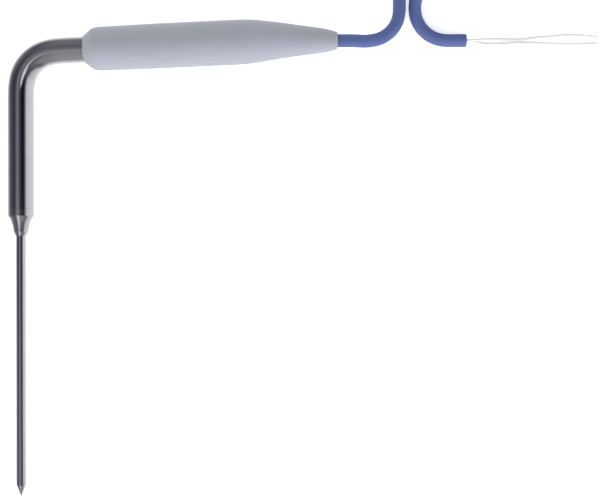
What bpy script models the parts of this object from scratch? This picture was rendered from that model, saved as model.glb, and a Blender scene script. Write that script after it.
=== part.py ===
"""Core temperature probe: an L-shaped steel needle probe with a moulded grip,
a silicone cable wound up for storage, and two bare-ended sensor leads.

Lengths are millimetres in the constants and functions below and metres in the
meshes. +Z is up, and the probe lies on the plane z = 0: the belly of the grip
and the end of the needle touch it.

The probe is set out from one corner point, where the axis of the grip (the
arm) meets the axis of the needle (the leg). "a" is a distance along the arm
and "b" is a distance along the leg, both counted from that corner.
"""

import math

import bmesh
import bpy
from mathutils import Vector

MM = 0.001

# ---------------------------------------------------------------- dimensions
# Where the probe lies
CORNER_X = -46.567         # corner point of the L, puts the body's box on the origin
CORNER_Y = 63.856
ARM_HEADING = 2.70         # degrees in plan, from +X towards +Y
L_ANGLE = 93.19            # degrees between arm and leg
TOUCH_GAP = 0.01           # the needle's end just clears the plane

# Bent tube
TUBE_R = 4.0
TUBE_BORE_R = 3.2
TUBE_END_A = 62.0          # rear end, inside the grip
TUBE_END_B = 47.90         # lower end, on the reducer's collar
BEND_R = 10.75             # tightest radius of the axis, in the middle of the bend
BEND_EASE = 11.0           # length over which the curvature grows and fades

# Reducer, turned: stations along the leg with their radii
COLLAR_B = 48.0
SPIGOT_TOP_B = 42.7
SPIGOT_R = 3.12
REDUCER_END_B = 56.3
REDUCER_CONE = [(50.25, 4.0), (50.65, 3.74), (51.25, 3.34), (51.95, 3.01),
                (52.75, 2.75), (53.6, 2.53), (54.4, 2.38), (55.05, 2.29),
                (55.7, 1.98), (56.3, 1.70)]
NEEDLE_SEAT_B = 45.7
NEEDLE_SEAT_R = 1.6
WIRE_WAY_R = 1.2

# Needle
NEEDLE_R = 1.5
NEEDLE_BORE_R = 1.15
NEEDLE_TOP_B = 46.0
NEEDLE_END_B = 134.0
POINT_B = 137.8
POINT_R = 0.12
PLUG_R = 1.08
PLUG_TOP_B = 130.6

# Sensor and its wires
SENSOR_B = 126.6
SENSOR_SIZE = (1.25, 0.8, 2.4)      # across, thick, long
SLEEVE_R = 1.05
SLEEVE_BORE_R = 0.86
SLEEVE_B = (122.4, 129.6)
WIRE_R = 0.25
WIRE_SPREAD = 0.34

# Splices, in the straight of the tube inside the grip
SPLICE_A = 37.0
SPLICE_SPREAD = 1.3
CRIMP_R = 0.72
CRIMP_BORE_R = 0.5
CRIMP_LEN = 6.0
SHRINK_R = 1.05
SHRINK_BORE_R = 0.84
SHRINK_LEN = 14.0
CORE_R = 0.4
CORE_SPREAD = 0.55

# Plug that closes the rear end of the tube, and the cable's ferrule
PLUG_A = (56.5, 62.0)
TUBE_PLUG_R = 3.1
TUBE_PLUG_BORE_R = 1.4
FERRULE_A = (71.2, 77.0)
FERRULE_R = 2.75
FERRULE_BORE_R = 2.1

# Grip: stations along the arm with their radii
GRIP_BORE_R = 4.15
GRIP_NOSE = [(19.7, 4.26), (20.1, 4.46), (20.6, 4.84), (21.2, 5.34),
             (21.8, 5.84), (22.4, 6.22), (23.2, 6.49), (24.5, 6.62),
             (32.0, 6.70), (39.0, 6.78)]
GRIP_R = 6.82
GRIP_BELLY_A = (46.0, 66.0)
GRIP_TAIL = [(68.6, 6.79), (71.0, 6.66), (73.7, 6.38), (76.8, 5.95),
             (79.9, 5.52), (83.0, 5.08), (86.0, 4.66), (89.1, 4.28),
             (91.8, 3.94), (94.0, 3.58), (95.8, 3.18), (97.0, 2.82),
             (97.6, 2.56)]
GRIP_STEP_A = 62.3         # end of the tube's bore
GRIP_POCKET_R = 3.2
GRIP_POCKET_END_A = 77.3
GRIP_CABLE_BORE_R = 2.15
TAIL_TURN_A = (70.0, 88.0) # the tail is drawn straight by the cable here
TAIL_TURN = 0.052          # radians

# Cable
CABLE_R = 2.0
SHEATH_START_A = 70.0
FLOOR_CABLE_Z = 2.0
COIL_OUT_R = 31.85         # middle of the outermost and innermost turns
COIL_IN_R = 12.77
COIL_BASE_Z = 0.45         # lifted by the ties' thickness
COIL_HEIGHT = 8.1
RUN_X = 70.17              # the cable runs up to the coil along this line
COIL_BOTTOM_Y = 91.5       # middle of the outermost turn, nearest the grip
FAR_END = (91.21, 68.45)

# Bare-ended leads
LEAD_R = 0.4

ROUND = 32                 # sides of the large round pieces
SMALL = 24                 # sides of the needle and what is in it
TINY = 12

# --------------------------------------------------------- frame of the part
Z = Vector((0.0, 0.0, 1.0))
heading = math.radians(ARM_HEADING)
U = Vector((math.cos(heading), math.sin(heading), 0.0))     # along the arm
V = Vector((math.sin(heading), -math.cos(heading), 0.0))    # level, towards the leg
theta = math.radians(L_ANGLE)

# A flat of the faceted belly lies on the plane z = 0.
AXIS_Z = GRIP_R * math.cos(math.pi / ROUND)
# The L leans about the arm until the needle's end comes down to the plane.
reach = NEEDLE_END_B * math.sin(theta)
low = NEEDLE_R * math.cos(math.pi / SMALL)
lean = (math.asin((AXIS_Z - TOUCH_GAP) / math.hypot(reach, low))
        - math.atan2(low, reach))

CORNER = Vector((CORNER_X, CORNER_Y, AXIS_Z))
W = V * math.cos(lean) - Z * math.sin(lean)                 # in the L's plane
NORMAL = Z * math.cos(lean) + V * math.sin(lean)            # out of the L's plane
LEG = U * math.cos(theta) + W * math.sin(theta)             # down the needle
ACROSS = U * math.sin(theta) - W * math.cos(theta)          # across the leg


def smooth01(t):
    t = min(1.0, max(0.0, t))
    return t * t * (3.0 - 2.0 * t)


def bend_stations(count):
    """(distance off the corner along the arm, depth, heading) through the bend."""
    turn = math.pi - theta
    flat = turn * BEND_R - BEND_EASE
    total = 2.0 * BEND_EASE + flat
    steps = 400
    ds = total / steps
    phi, x, y = 0.0, 0.0, 0.0
    track = [(0.0, 0.0, 0.0)]
    for i in range(steps):
        s = (i + 0.5) * ds
        k = min(smooth01(s / BEND_EASE), smooth01((total - s) / BEND_EASE)) / BEND_R
        half = phi + 0.5 * k * ds
        x += math.cos(half) * ds
        y += math.sin(half) * ds
        phi += k * ds
        track.append((x, y, phi))
    tangent = y / math.sin(phi)
    picked = [track[round(i * steps / (count - 1))] for i in range(count)]
    return tangent, [(tangent - px, py, ph) for px, py, ph in picked]


BEND_TANGENT, BEND = bend_stations(15)


def bend_frame(p, q, phi):
    centre = CORNER + U * p + W * q
    inner = U * math.sin(phi) + W * math.cos(phi)
    return centre, inner, NORMAL


def arm_frame(a):
    """Axis of the tube inside the grip: the L's own plane."""
    return CORNER + U * a, W, NORMAL


def leg_frame(b):
    return CORNER + LEG * b, ACROSS, NORMAL


def tail_offset(a):
    """How far the grip's tail has swung off the arm's line, and its heading."""
    a0, a1 = TAIL_TURN_A
    if a <= a0:
        return 0.0, 0.0
    u = min(1.0, (a - a0) / (a1 - a0))
    off = TAIL_TURN * (a1 - a0) * (u ** 3 - 0.5 * u ** 4)
    if a > a1:
        off += TAIL_TURN * (a - a1)
    return off, TAIL_TURN * smooth01(u)


def grip_frame(a):
    off, turn = tail_offset(a)
    centre = CORNER + U * a + V * off
    side = V * math.cos(turn) - U * math.sin(turn)
    return centre, side, Z


# ------------------------------------------------------------------ helpers
def material(name, rgb, roughness, metallic):
    m = bpy.data.materials.new(name)
    m.use_nodes = True
    shader = m.node_tree.nodes["Principled BSDF"]
    shader.inputs["Base Color"].default_value = (*rgb, 1.0)
    shader.inputs["Roughness"].default_value = roughness
    shader.inputs["Metallic"].default_value = metallic
    return m


def ring(frame, radius, sides):
    """Corners of a regular polygon with a flat side towards each frame axis."""
    centre, e1, e2 = frame
    loop = []
    for k in range(sides):
        t = (k + 0.5) * 2.0 * math.pi / sides
        loop.append(centre + e1 * (radius * math.cos(t)) + e2 * (radius * math.sin(t)))
    return loop


def skin(name, loops, mat, closed=False, sharp=35.0):
    """Skin matching loops into one closed body.

    closed joins the last loop back to the first, for a body with a way
    through it. Otherwise both end loops are capped.
    """
    bm = bmesh.new()
    rows = [[bm.verts.new(p * MM) for p in loop] for loop in loops]
    n = len(rows[0])
    spans = len(rows) if closed else len(rows) - 1
    for i in range(spans):
        a, b = rows[i], rows[(i + 1) % len(rows)]
        for k in range(n):
            bm.faces.new((a[k], a[(k + 1) % n], b[(k + 1) % n], b[k]))
    if not closed:
        bm.faces.new(list(reversed(rows[0])))
        bm.faces.new(rows[-1])
    bmesh.ops.recalc_face_normals(bm, faces=bm.faces[:])
    mesh = bpy.data.meshes.new(name)
    bm.to_mesh(mesh)
    bm.free()
    mesh.shade_smooth()
    mesh.set_sharp_from_angle(angle=math.radians(sharp))
    mesh.materials.append(mat)
    ob = bpy.data.objects.new(name, mesh)
    bpy.context.scene.collection.objects.link(ob)
    return ob


def turned(name, frame_at, outer, bore, mat, sides):
    """A turned piece: outer and bore are (station, radius) lists in one direction."""
    loops = [ring(frame_at(s), r, sides) for s, r in outer]
    if bore:
        loops += [ring(frame_at(s), r, sides) for s, r in reversed(bore)]
    return skin(name, loops, mat, closed=bool(bore))


def round_cord(name, points, radius, mat, resolution=2):
    """A round cord with capped ends along points."""
    curve = bpy.data.curves.new(name, "CURVE")
    curve.dimensions = "3D"
    curve.resolution_u = 1
    curve.render_resolution_u = 0
    curve.bevel_depth = radius * MM
    curve.bevel_resolution = resolution
    curve.use_fill_caps = True
    spline = curve.splines.new("POLY")
    spline.points.add(len(points) - 1)
    for sp, p in zip(spline.points, points):
        sp.co = (p.x * MM, p.y * MM, p.z * MM, 1.0)
    curve.materials.append(mat)
    ob = bpy.data.objects.new(name, curve)
    bpy.context.scene.collection.objects.link(ob)
    return ob


def smooth_curve(knots, spacing):
    """Points about spacing apart on a smooth curve through the knots."""
    pts = [2 * knots[0] - knots[1]] + list(knots) + [2 * knots[-1] - knots[-2]]
    dense = []
    for i in range(1, len(pts) - 2):
        p0, p1, p2, p3 = pts[i - 1:i + 3]
        t0 = 0.0
        t1 = t0 + (p1 - p0).length ** 0.5
        t2 = t1 + (p2 - p1).length ** 0.5
        t3 = t2 + (p3 - p2).length ** 0.5
        for k in range(40):
            t = t1 + (t2 - t1) * k / 40.0
            a1 = p0.lerp(p1, (t - t0) / (t1 - t0))
            a2 = p1.lerp(p2, (t - t1) / (t2 - t1))
            a3 = p2.lerp(p3, (t - t2) / (t3 - t2))
            b1 = a1.lerp(a2, (t - t0) / (t2 - t0))
            b2 = a2.lerp(a3, (t - t1) / (t3 - t1))
            dense.append(b1.lerp(b2, (t - t1) / (t2 - t1)))
    dense.append(pts[-2].copy())
    run = [0.0]
    for p, q in zip(dense, dense[1:]):
        run.append(run[-1] + (q - p).length)
    count = max(2, round(run[-1] / spacing) + 1)
    out, j = [], 0
    for i in range(count):
        want = run[-1] * i / (count - 1)
        while j < len(run) - 2 and run[j + 1] < want:
            j += 1
        f = (want - run[j]) / max(1e-9, run[j + 1] - run[j])
        out.append(dense[j].lerp(dense[j + 1], min(1.0, f)))
    return out


for old in list(bpy.data.objects):
    bpy.data.objects.remove(old, do_unlink=True)

STEEL = material("probe_steel", (0.42, 0.42, 0.44), 0.22, 1.0)
NEEDLE_STEEL = material("needle_steel", (0.40, 0.41, 0.43), 0.20, 1.0)
POINT_STEEL = material("point_steel", (0.45, 0.46, 0.48), 0.28, 1.0)
REDUCER_STEEL = material("reducer_steel", (0.44, 0.44, 0.46), 0.24, 1.0)
GRIP = material("grip_silicone", (0.36, 0.38, 0.44), 0.5, 0.0)
CERAMIC = material("sensor_ceramic", (0.85, 0.85, 0.80), 0.5, 0.0)
SLEEVE = material("sensor_sleeve", (0.65, 0.35, 0.08), 0.35, 0.0)
WIRE_A = material("wire_white", (0.85, 0.85, 0.84), 0.4, 0.0)
WIRE_B = material("wire_red", (0.55, 0.05, 0.04), 0.4, 0.0)
TINNED = material("crimp_tinned", (0.70, 0.70, 0.68), 0.3, 1.0)
SHRINK = material("shrink_black", (0.03, 0.03, 0.03), 0.5, 0.0)
CORE = material("core_white", (0.86, 0.86, 0.86), 0.45, 0.0)
SEAL = material("seal_silicone", (0.55, 0.12, 0.06), 0.55, 0.0)
FERRULE = material("ferrule_brass", (0.65, 0.50, 0.22), 0.3, 1.0)
CABLE = material("cable_blue", (0.10, 0.13, 0.40), 0.5, 0.0)
TIE = material("tie_white", (0.80, 0.80, 0.80), 0.5, 0.0)

# --------------------------------------------------------------- steel probe
outer = [ring(arm_frame(TUBE_END_A), TUBE_R, ROUND)]
bore = [ring(arm_frame(TUBE_END_A), TUBE_BORE_R, ROUND)]
for p, q, phi in BEND:
    outer.append(ring(bend_frame(p, q, phi), TUBE_R, ROUND))
    bore.append(ring(bend_frame(p, q, phi), TUBE_BORE_R, ROUND))
outer.append(ring(leg_frame(TUBE_END_B), TUBE_R, ROUND))
bore.append(ring(leg_frame(TUBE_END_B), TUBE_BORE_R, ROUND))
skin("bent_tube", outer + bore[::-1], STEEL, closed=True)

turned("reducer", leg_frame,
       [(SPIGOT_TOP_B, SPIGOT_R - 0.2), (SPIGOT_TOP_B + 0.3, SPIGOT_R),
        (COLLAR_B, SPIGOT_R), (COLLAR_B, TUBE_R)] + REDUCER_CONE,
       [(SPIGOT_TOP_B, WIRE_WAY_R), (NEEDLE_SEAT_B, WIRE_WAY_R),
        (NEEDLE_SEAT_B, NEEDLE_SEAT_R), (REDUCER_END_B, NEEDLE_SEAT_R)],
       REDUCER_STEEL, ROUND)

turned("needle_tube", leg_frame,
       [(NEEDLE_TOP_B, NEEDLE_R), (NEEDLE_END_B, NEEDLE_R)],
       [(NEEDLE_TOP_B, NEEDLE_BORE_R), (NEEDLE_END_B, NEEDLE_BORE_R)],
       NEEDLE_STEEL, SMALL)

turned("needle_tip", leg_frame,
       [(PLUG_TOP_B, PLUG_R - 0.15), (PLUG_TOP_B + 0.3, PLUG_R),
        (NEEDLE_END_B + 0.05, PLUG_R), (NEEDLE_END_B + 0.05, NEEDLE_R),
        (POINT_B, POINT_R)],
       None, POINT_STEEL, SMALL)

# ------------------------------------------------------ sensor and its wires
wide, thick, long = (d / 2.0 for d in SENSOR_SIZE)
loops = []
for b in (SENSOR_B - long, SENSOR_B + long):
    centre, e1, e2 = leg_frame(b)
    loops.append([centre + e1 * wide * i + e2 * thick * j
                  for i, j in ((1, 1), (-1, 1), (-1, -1), (1, -1))])
skin("sensor_element", loops, CERAMIC)

turned("sensor_sleeve", leg_frame,
       [(SLEEVE_B[0], SLEEVE_R), (SLEEVE_B[1], SLEEVE_R)],
       [(SLEEVE_B[0], SLEEVE_BORE_R), (SLEEVE_B[1], SLEEVE_BORE_R)],
       SLEEVE, SMALL)


def wire_route(side):
    """From the sensor up the needle, round the bend and back to the splice."""
    near = WIRE_SPREAD * side
    pts = []
    for b in (SENSOR_B - long - 0.3, 100.0, 75.0, 50.0, 30.0, BEND_TANGENT + 2.0):
        centre, e1, _ = leg_frame(b)
        pts.append(centre + e1 * near)
    for p, q, phi in reversed(BEND[::2]):
        centre, e1, _ = bend_frame(p, q, phi)
        pts.append(centre + e1 * near)
    start = BEND_TANGENT + 2.0
    stop = SPLICE_A - CRIMP_LEN / 2.0 - 3.0
    for i in range(6):
        f = i / 5.0
        centre, e1, _ = arm_frame(start + (stop - start) * f)
        pts.append(centre + e1 * (near + (SPLICE_SPREAD * side - near) * smooth01(f)))
    centre, e1, _ = arm_frame(SPLICE_A - 0.6)
    pts.append(centre + e1 * SPLICE_SPREAD * side)
    return pts


def core_route(side):
    """From the splice back along the tube to the end of the cable's sheath."""
    pts = []
    for a in (SPLICE_A + 0.6, SPLICE_A + CRIMP_LEN / 2.0 + 4.5):
        centre, e1, _ = arm_frame(a)
        pts.append(centre + e1 * SPLICE_SPREAD * side)
    start = SPLICE_A + CRIMP_LEN / 2.0 + 5.0
    stop = PLUG_A[0] - 1.0
    for i in range(1, 6):
        f = i / 5.0
        centre, e1, _ = arm_frame(start + (stop - start) * f)
        pts.append(centre + e1 * side * (SPLICE_SPREAD + (CORE_SPREAD - SPLICE_SPREAD)
                                         * smooth01(f)))
    centre, e1, _ = arm_frame(SHEATH_START_A - 0.3)
    pts.append(centre + e1 * CORE_SPREAD * side)
    return pts


for tag, side, mat in (("a", -1.0, WIRE_A), ("b", 1.0, WIRE_B)):
    round_cord("sensor_wire_" + tag, wire_route(side), WIRE_R, mat)
    round_cord("core_lead_" + tag, core_route(side), CORE_R, CORE)

    def splice_frame(a, side=side):
        centre, e1, e2 = arm_frame(a)
        return centre + e1 * SPLICE_SPREAD * side, e1, e2

    for name, length, r, hole, mat2 in (
            ("splice_crimp_", CRIMP_LEN, CRIMP_R, CRIMP_BORE_R, TINNED),
            ("splice_sleeve_", SHRINK_LEN, SHRINK_R, SHRINK_BORE_R, SHRINK)):
        ends = (SPLICE_A - length / 2.0, SPLICE_A + length / 2.0)
        turned(name + tag, splice_frame, [(e, r) for e in ends],
               [(e, hole) for e in ends], mat2, TINY)

turned("tube_plug", arm_frame,
       [(PLUG_A[0], TUBE_PLUG_R - 0.3), (PLUG_A[0] + 0.6, TUBE_PLUG_R),
        (PLUG_A[1], TUBE_PLUG_R)],
       [(PLUG_A[0], TUBE_PLUG_BORE_R), (PLUG_A[1], TUBE_PLUG_BORE_R)],
       SEAL, SMALL)

turned("cable_ferrule", grip_frame,
       [(FERRULE_A[0], FERRULE_R - 0.2), (FERRULE_A[0] + 0.3, FERRULE_R),
        (FERRULE_A[1] - 0.3, FERRULE_R), (FERRULE_A[1], FERRULE_R - 0.2)],
       [(FERRULE_A[0], FERRULE_BORE_R), (FERRULE_A[1], FERRULE_BORE_R)],
       FERRULE, SMALL)

# ---------------------------------------------------------------------- grip
turned("handle_grip", grip_frame,
       GRIP_NOSE + [(a, GRIP_R) for a in GRIP_BELLY_A] + GRIP_TAIL,
       [(GRIP_NOSE[0][0], GRIP_BORE_R), (GRIP_STEP_A, GRIP_BORE_R),
        (GRIP_STEP_A, GRIP_POCKET_R), (GRIP_POCKET_END_A, GRIP_POCKET_R),
        (GRIP_POCKET_END_A, GRIP_CABLE_BORE_R), (82.0, GRIP_CABLE_BORE_R),
        (88.0, GRIP_CABLE_BORE_R), (GRIP_TAIL[-1][0], GRIP_CABLE_BORE_R)],
       GRIP, ROUND)

# --------------------------------------------------------------------- cable
COIL_X = RUN_X + COIL_OUT_R
COIL_Y = COIL_BOTTOM_Y + COIL_OUT_R
COIL_RING_OUT = COIL_OUT_R + CABLE_R + 0.1
COIL_RING_IN = COIL_IN_R - CABLE_R - 0.1


def droop(s, fall_from, fall_to, high, low_z):
    return high + (low_z - high) * smooth01((s - fall_from) / (fall_to - fall_from))


exit_a = GRIP_TAIL[-1][0]
exit_point, exit_side, _ = grip_frame(exit_a)
exit_dir = Vector((-exit_side.y, exit_side.x, 0.0)).normalized()

# Out of the grip, a few diameters straight, down to the table, and round to
# the run that leads to the coil.
knots = [grip_frame(a)[0] for a in (SHEATH_START_A, 74.0, 79.0, 84.0, 89.0, 94.0)]
knots.append(exit_point.copy())
flat = exit_point + exit_dir * 4.5
knots.append(flat)
turn_r = 10.0
turn_x = RUN_X - turn_r
turn_y = flat.y + exit_dir.y * (turn_x - flat.x) + turn_r
for deg in (4, 24, 45, 66, 86):
    t = math.radians(deg)
    knots.append(Vector((turn_x + turn_r * math.sin(t), turn_y - turn_r * math.cos(t), 0.0)))
near_stop_y = COIL_Y - math.sqrt((COIL_RING_OUT + 0.35) ** 2 - (COIL_OUT_R - CABLE_R) ** 2)
for y in (turn_y + 7.0, turn_y + 14.0):
    knots.append(Vector((RUN_X, y, 0.0)))
knots.append(Vector((RUN_X, near_stop_y, 0.0)))
near = smooth_curve(knots, 3.6)
travel = -(exit_a - SHEATH_START_A)
for i, p in enumerate(near):
    if i:
        travel += math.hypot(p.x - near[i - 1].x, p.y - near[i - 1].y)
    p.z = droop(travel, 5.0, 44.0, AXIS_Z, FLOOR_CABLE_Z)
    if travel > 44.0:
        p.z = FLOOR_CABLE_Z
round_cord("cable_near", near, CABLE_R, CABLE)

profile = [(COIL_RING_OUT, COIL_BASE_Z + 1.2), (COIL_RING_OUT, COIL_BASE_Z + COIL_HEIGHT - 1.2),
           (COIL_RING_OUT - 1.2, COIL_BASE_Z + COIL_HEIGHT),
           (COIL_RING_IN + 1.2, COIL_BASE_Z + COIL_HEIGHT),
           (COIL_RING_IN, COIL_BASE_Z + COIL_HEIGHT - 1.2), (COIL_RING_IN, COIL_BASE_Z + 1.2),
           (COIL_RING_IN + 1.2, COIL_BASE_Z), (COIL_RING_OUT - 1.2, COIL_BASE_Z)]
loops = []
for k in range(48):
    t = 2.0 * math.pi * k / 48
    out = Vector((math.cos(t), math.sin(t), 0.0))
    loops.append([Vector((COIL_X, COIL_Y, z)) + out * r for r, z in profile])
skin("cable_coil", loops, CABLE, closed=True)

# From where the cable comes clear of the coil's upper layer, round a half turn
# and down to the table, to the cut end of the sheath.
far_x, far_y = FAR_END
leave_x = COIL_X - math.sqrt((COIL_RING_OUT + 0.35) ** 2 - (COIL_OUT_R - CABLE_R) ** 2)
top_z = COIL_BASE_Z + 0.03 + 3.0 * CABLE_R
small_r = 10.0
left_x = RUN_X + 5.0
mid_y = far_y + small_r
big_r = COIL_BOTTOM_Y - mid_y
knots = []
first = math.degrees(math.asin((left_x + big_r - leave_x) / big_r))
for deg in (first, 30, 50, 70, 90):
    t = math.radians(deg)
    knots.append(Vector((left_x + big_r - big_r * math.sin(t),
                         mid_y + big_r * math.cos(t), 0.0)))
for deg in (22, 45, 67, 87):
    t = math.radians(deg)
    knots.append(Vector((left_x + small_r - small_r * math.cos(t),
                         mid_y - small_r * math.sin(t), 0.0)))
knots.append(Vector((far_x - 3.0, far_y, 0.0)))
knots.append(Vector((far_x, far_y, 0.0)))
far = smooth_curve(knots, 3.6)
travel = 0.0
for i, p in enumerate(far):
    if i:
        travel += math.hypot(p.x - far[i - 1].x, p.y - far[i - 1].y)
    p.z = droop(travel, -6.0, 24.0, top_z, FLOOR_CABLE_Z)
round_cord("cable_far", far, CABLE_R, CABLE)

# Leads: one over the other where they leave the sheath, side by side on the
# table after that.
UPPER = [(0.3, 0.0, 2.48), (3.0, 0.15, 2.0), (6.0, 0.5, 1.1), (9.5, 0.66, 0.5),
         (13.0, 0.62, 0.4), (17.0, 0.62, 0.4), (21.5, 1.15, 0.4), (26.0, 1.5, 0.4),
         (30.0, 1.85, 0.4), (33.5, 2.0, 0.4), (37.0, 1.85, 0.4), (41.3, 1.35, 0.4)]
LOWER = [(0.3, 0.0, 1.5), (3.0, -0.3, 1.1), (6.0, -0.7, 0.55), (9.5, -0.78, 0.4),
         (13.0, -0.7, 0.4), (17.0, -0.45, 0.4), (21.5, -0.5, 0.4), (26.0, -0.62, 0.4),
         (30.0, -0.82, 0.4), (33.5, -0.86, 0.4), (37.0, -0.75, 0.4), (41.3, -0.62, 0.4)]
for name, rows in (("lead_upper", UPPER), ("lead_lower", LOWER)):
    route = smooth_curve([Vector((far_x + x, far_y + y, z)) for x, y, z in rows], 1.9)
    for p in route:
        p.z = max(p.z, LEAD_R + 0.001)
    round_cord(name, route, LEAD_R, CORE)

# Two ties hold the coil: a strap round the bundle at each.
STRAP_THICK, STRAP_WIDE, STRAP_GAP = 0.3, 3.0, 0.12
for tag, deg in (("a", 150.0), ("b", 330.0)):
    t = math.radians(deg)
    out = Vector((math.cos(t), math.sin(t), 0.0))
    along = Vector((-math.sin(t), math.cos(t), 0.0))
    # the strap is flat and the coil is curved, so its edges come closer on the inside
    inner = COIL_RING_IN * math.cos(math.pi / 48)
    r0 = math.sqrt(inner ** 2 - (STRAP_WIDE / 2.0) ** 2) - STRAP_GAP
    r1 = COIL_RING_OUT + STRAP_GAP
    z0, z1 = COIL_BASE_Z - STRAP_GAP, COIL_BASE_Z + COIL_HEIGHT + STRAP_GAP
    fillet = 1.2
    path = []
    for cx, cz, start in ((r1 - fillet, z1 - fillet, 0), (r0 + fillet, z1 - fillet, 90),
                          (r0 + fillet, z0 + fillet, 180), (r1 - fillet, z0 + fillet, 270)):
        for step in range(4):
            s = math.radians(start + step * 30.0)
            path.append((cx, cz, math.cos(s), math.sin(s)))
    loops = []
    for cx, cz, nx, nz in path:
        loop = []
        for depth, wide_at in ((fillet, -0.5), (fillet + STRAP_THICK, -0.5),
                               (fillet + STRAP_THICK, 0.5), (fillet, 0.5)):
            loop.append(Vector((COIL_X, COIL_Y, cz + nz * depth))
                        + out * (cx + nx * depth) + along * (STRAP_WIDE * wide_at))
        loops.append(loop)
    skin("cable_tie_" + tag, loops, TIE, closed=True)
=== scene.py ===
"""Looks of the core temperature probe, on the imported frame.

Lengths are millimetres in the constants and functions below and metres in the
meshes. "a" is a distance along the arm (the grip's axis) and "b" a distance
along the leg (the needle's axis), both counted from the corner of the L.
"""

import math

import bmesh
import bpy
import numpy as np
from mathutils import Matrix, Vector


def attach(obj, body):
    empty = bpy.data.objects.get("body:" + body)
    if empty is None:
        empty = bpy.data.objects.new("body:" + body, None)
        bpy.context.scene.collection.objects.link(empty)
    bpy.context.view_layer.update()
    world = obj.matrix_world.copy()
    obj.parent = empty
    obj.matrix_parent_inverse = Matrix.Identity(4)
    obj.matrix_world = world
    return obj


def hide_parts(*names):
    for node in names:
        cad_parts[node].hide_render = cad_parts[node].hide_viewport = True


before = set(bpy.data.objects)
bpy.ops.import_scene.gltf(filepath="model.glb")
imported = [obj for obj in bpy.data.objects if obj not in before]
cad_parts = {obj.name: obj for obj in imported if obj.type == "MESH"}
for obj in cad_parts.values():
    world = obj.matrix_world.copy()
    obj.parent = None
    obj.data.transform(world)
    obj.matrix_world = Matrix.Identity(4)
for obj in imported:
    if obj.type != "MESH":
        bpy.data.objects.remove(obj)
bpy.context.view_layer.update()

MM = 0.001
scene = bpy.context.scene
scene.view_settings.view_transform = "Standard"
scene.view_settings.look = "None"
scene.view_settings.exposure = 0.0
scene.view_settings.gamma = 1.0

# ------------------------------------------------------------------- camera
CAM = (39.407, 3.07, 346.9)
camera_data = bpy.data.cameras.new("camera")
camera_data.type = "PERSP"
camera_data.sensor_fit = "HORIZONTAL"
camera_data.sensor_width = 36.0
camera_data.lens = 36.0 * 340.0 / (600.0 / 3.25)
camera_data.clip_start = 0.01
camera_data.clip_end = 10.0
camera = bpy.data.objects.new("camera", camera_data)
camera.location = [c * MM for c in CAM]
scene.collection.objects.link(camera)
scene.camera = camera

# --------------------------------------------------------- frame of the part
CORNER_X, CORNER_Y = -46.567, 63.856
ARM_HEADING, L_ANGLE = 2.70, 93.19
TOUCH_GAP = 0.01
TUBE_R, TUBE_BORE_R = 4.0, 3.2
TUBE_END_A, TUBE_END_B = 62.0, 47.985
BEND_R, BEND_EASE = 10.75, 11.0
COLLAR_B = 48.0
SPIGOT_TOP_B, SPIGOT_R = 42.7, 3.12
REDUCER_CONE = [(50.25, 4.0), (50.65, 3.74), (51.25, 3.34), (51.95, 3.01),
                (52.75, 2.75), (53.6, 2.53), (54.4, 2.38), (55.05, 2.29)]
REDUCER_END_B = 56.3
NEEDLE_SEAT_R = 1.6
NEEDLE_R, NEEDLE_BORE_R = 1.5, 1.15
NEEDLE_TOP_B, NEEDLE_END_B, POINT_B, POINT_R = 46.0, 134.0, 137.8, 0.12
GRIP_R = 6.82
GRIP_PROFILE = [(19.7, 4.26), (20.1, 4.46), (20.6, 4.84), (21.2, 5.34),
                (21.8, 5.84), (22.4, 6.22), (23.2, 6.49), (24.5, 6.62),
                (32.0, 6.70), (39.0, 6.78), (46.0, 6.82), (56.0, 6.82),
                (66.0, 6.82), (68.6, 6.79), (71.0, 6.66), (73.7, 6.38),
                (76.8, 5.95), (79.9, 5.52), (83.0, 5.08), (86.0, 4.66),
                (89.1, 4.28), (91.8, 3.94), (94.0, 3.58), (95.8, 3.18),
                (97.0, 2.82), (97.6, 2.56)]
GRIP_BORE_R, GRIP_CABLE_BORE_R = 4.15, 2.15
TAIL_TURN_A, TAIL_TURN = (70.0, 88.0), 0.052
CABLE_R = 2.0
SHEATH_START_A = 70.0
FLOOR_CABLE_Z = 2.0
COIL_OUT_R, COIL_IN_R = 31.85, 12.77
COIL_BASE_Z = 0.45
RUN_X, COIL_BOTTOM_Y = 70.17, 91.5
FAR_END = (91.21, 68.45)
LEAD_R = 0.4

Z = Vector((0.0, 0.0, 1.0))
heading = math.radians(ARM_HEADING)
U = Vector((math.cos(heading), math.sin(heading), 0.0))
V = Vector((math.sin(heading), -math.cos(heading), 0.0))
theta = math.radians(L_ANGLE)
AXIS_Z = GRIP_R * math.cos(math.pi / 32)
reach = NEEDLE_END_B * math.sin(theta)
low = NEEDLE_R * math.cos(math.pi / 24)
lean = (math.asin((AXIS_Z - TOUCH_GAP) / math.hypot(reach, low))
        - math.atan2(low, reach))
CORNER = Vector((CORNER_X, CORNER_Y, AXIS_Z))
W = V * math.cos(lean) - Z * math.sin(lean)
NORMAL = Z * math.cos(lean) + V * math.sin(lean)
LEG = U * math.cos(theta) + W * math.sin(theta)
ACROSS = U * math.sin(theta) - W * math.cos(theta)


def smooth01(t):
    t = min(1.0, max(0.0, t))
    return t * t * (3.0 - 2.0 * t)


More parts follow.
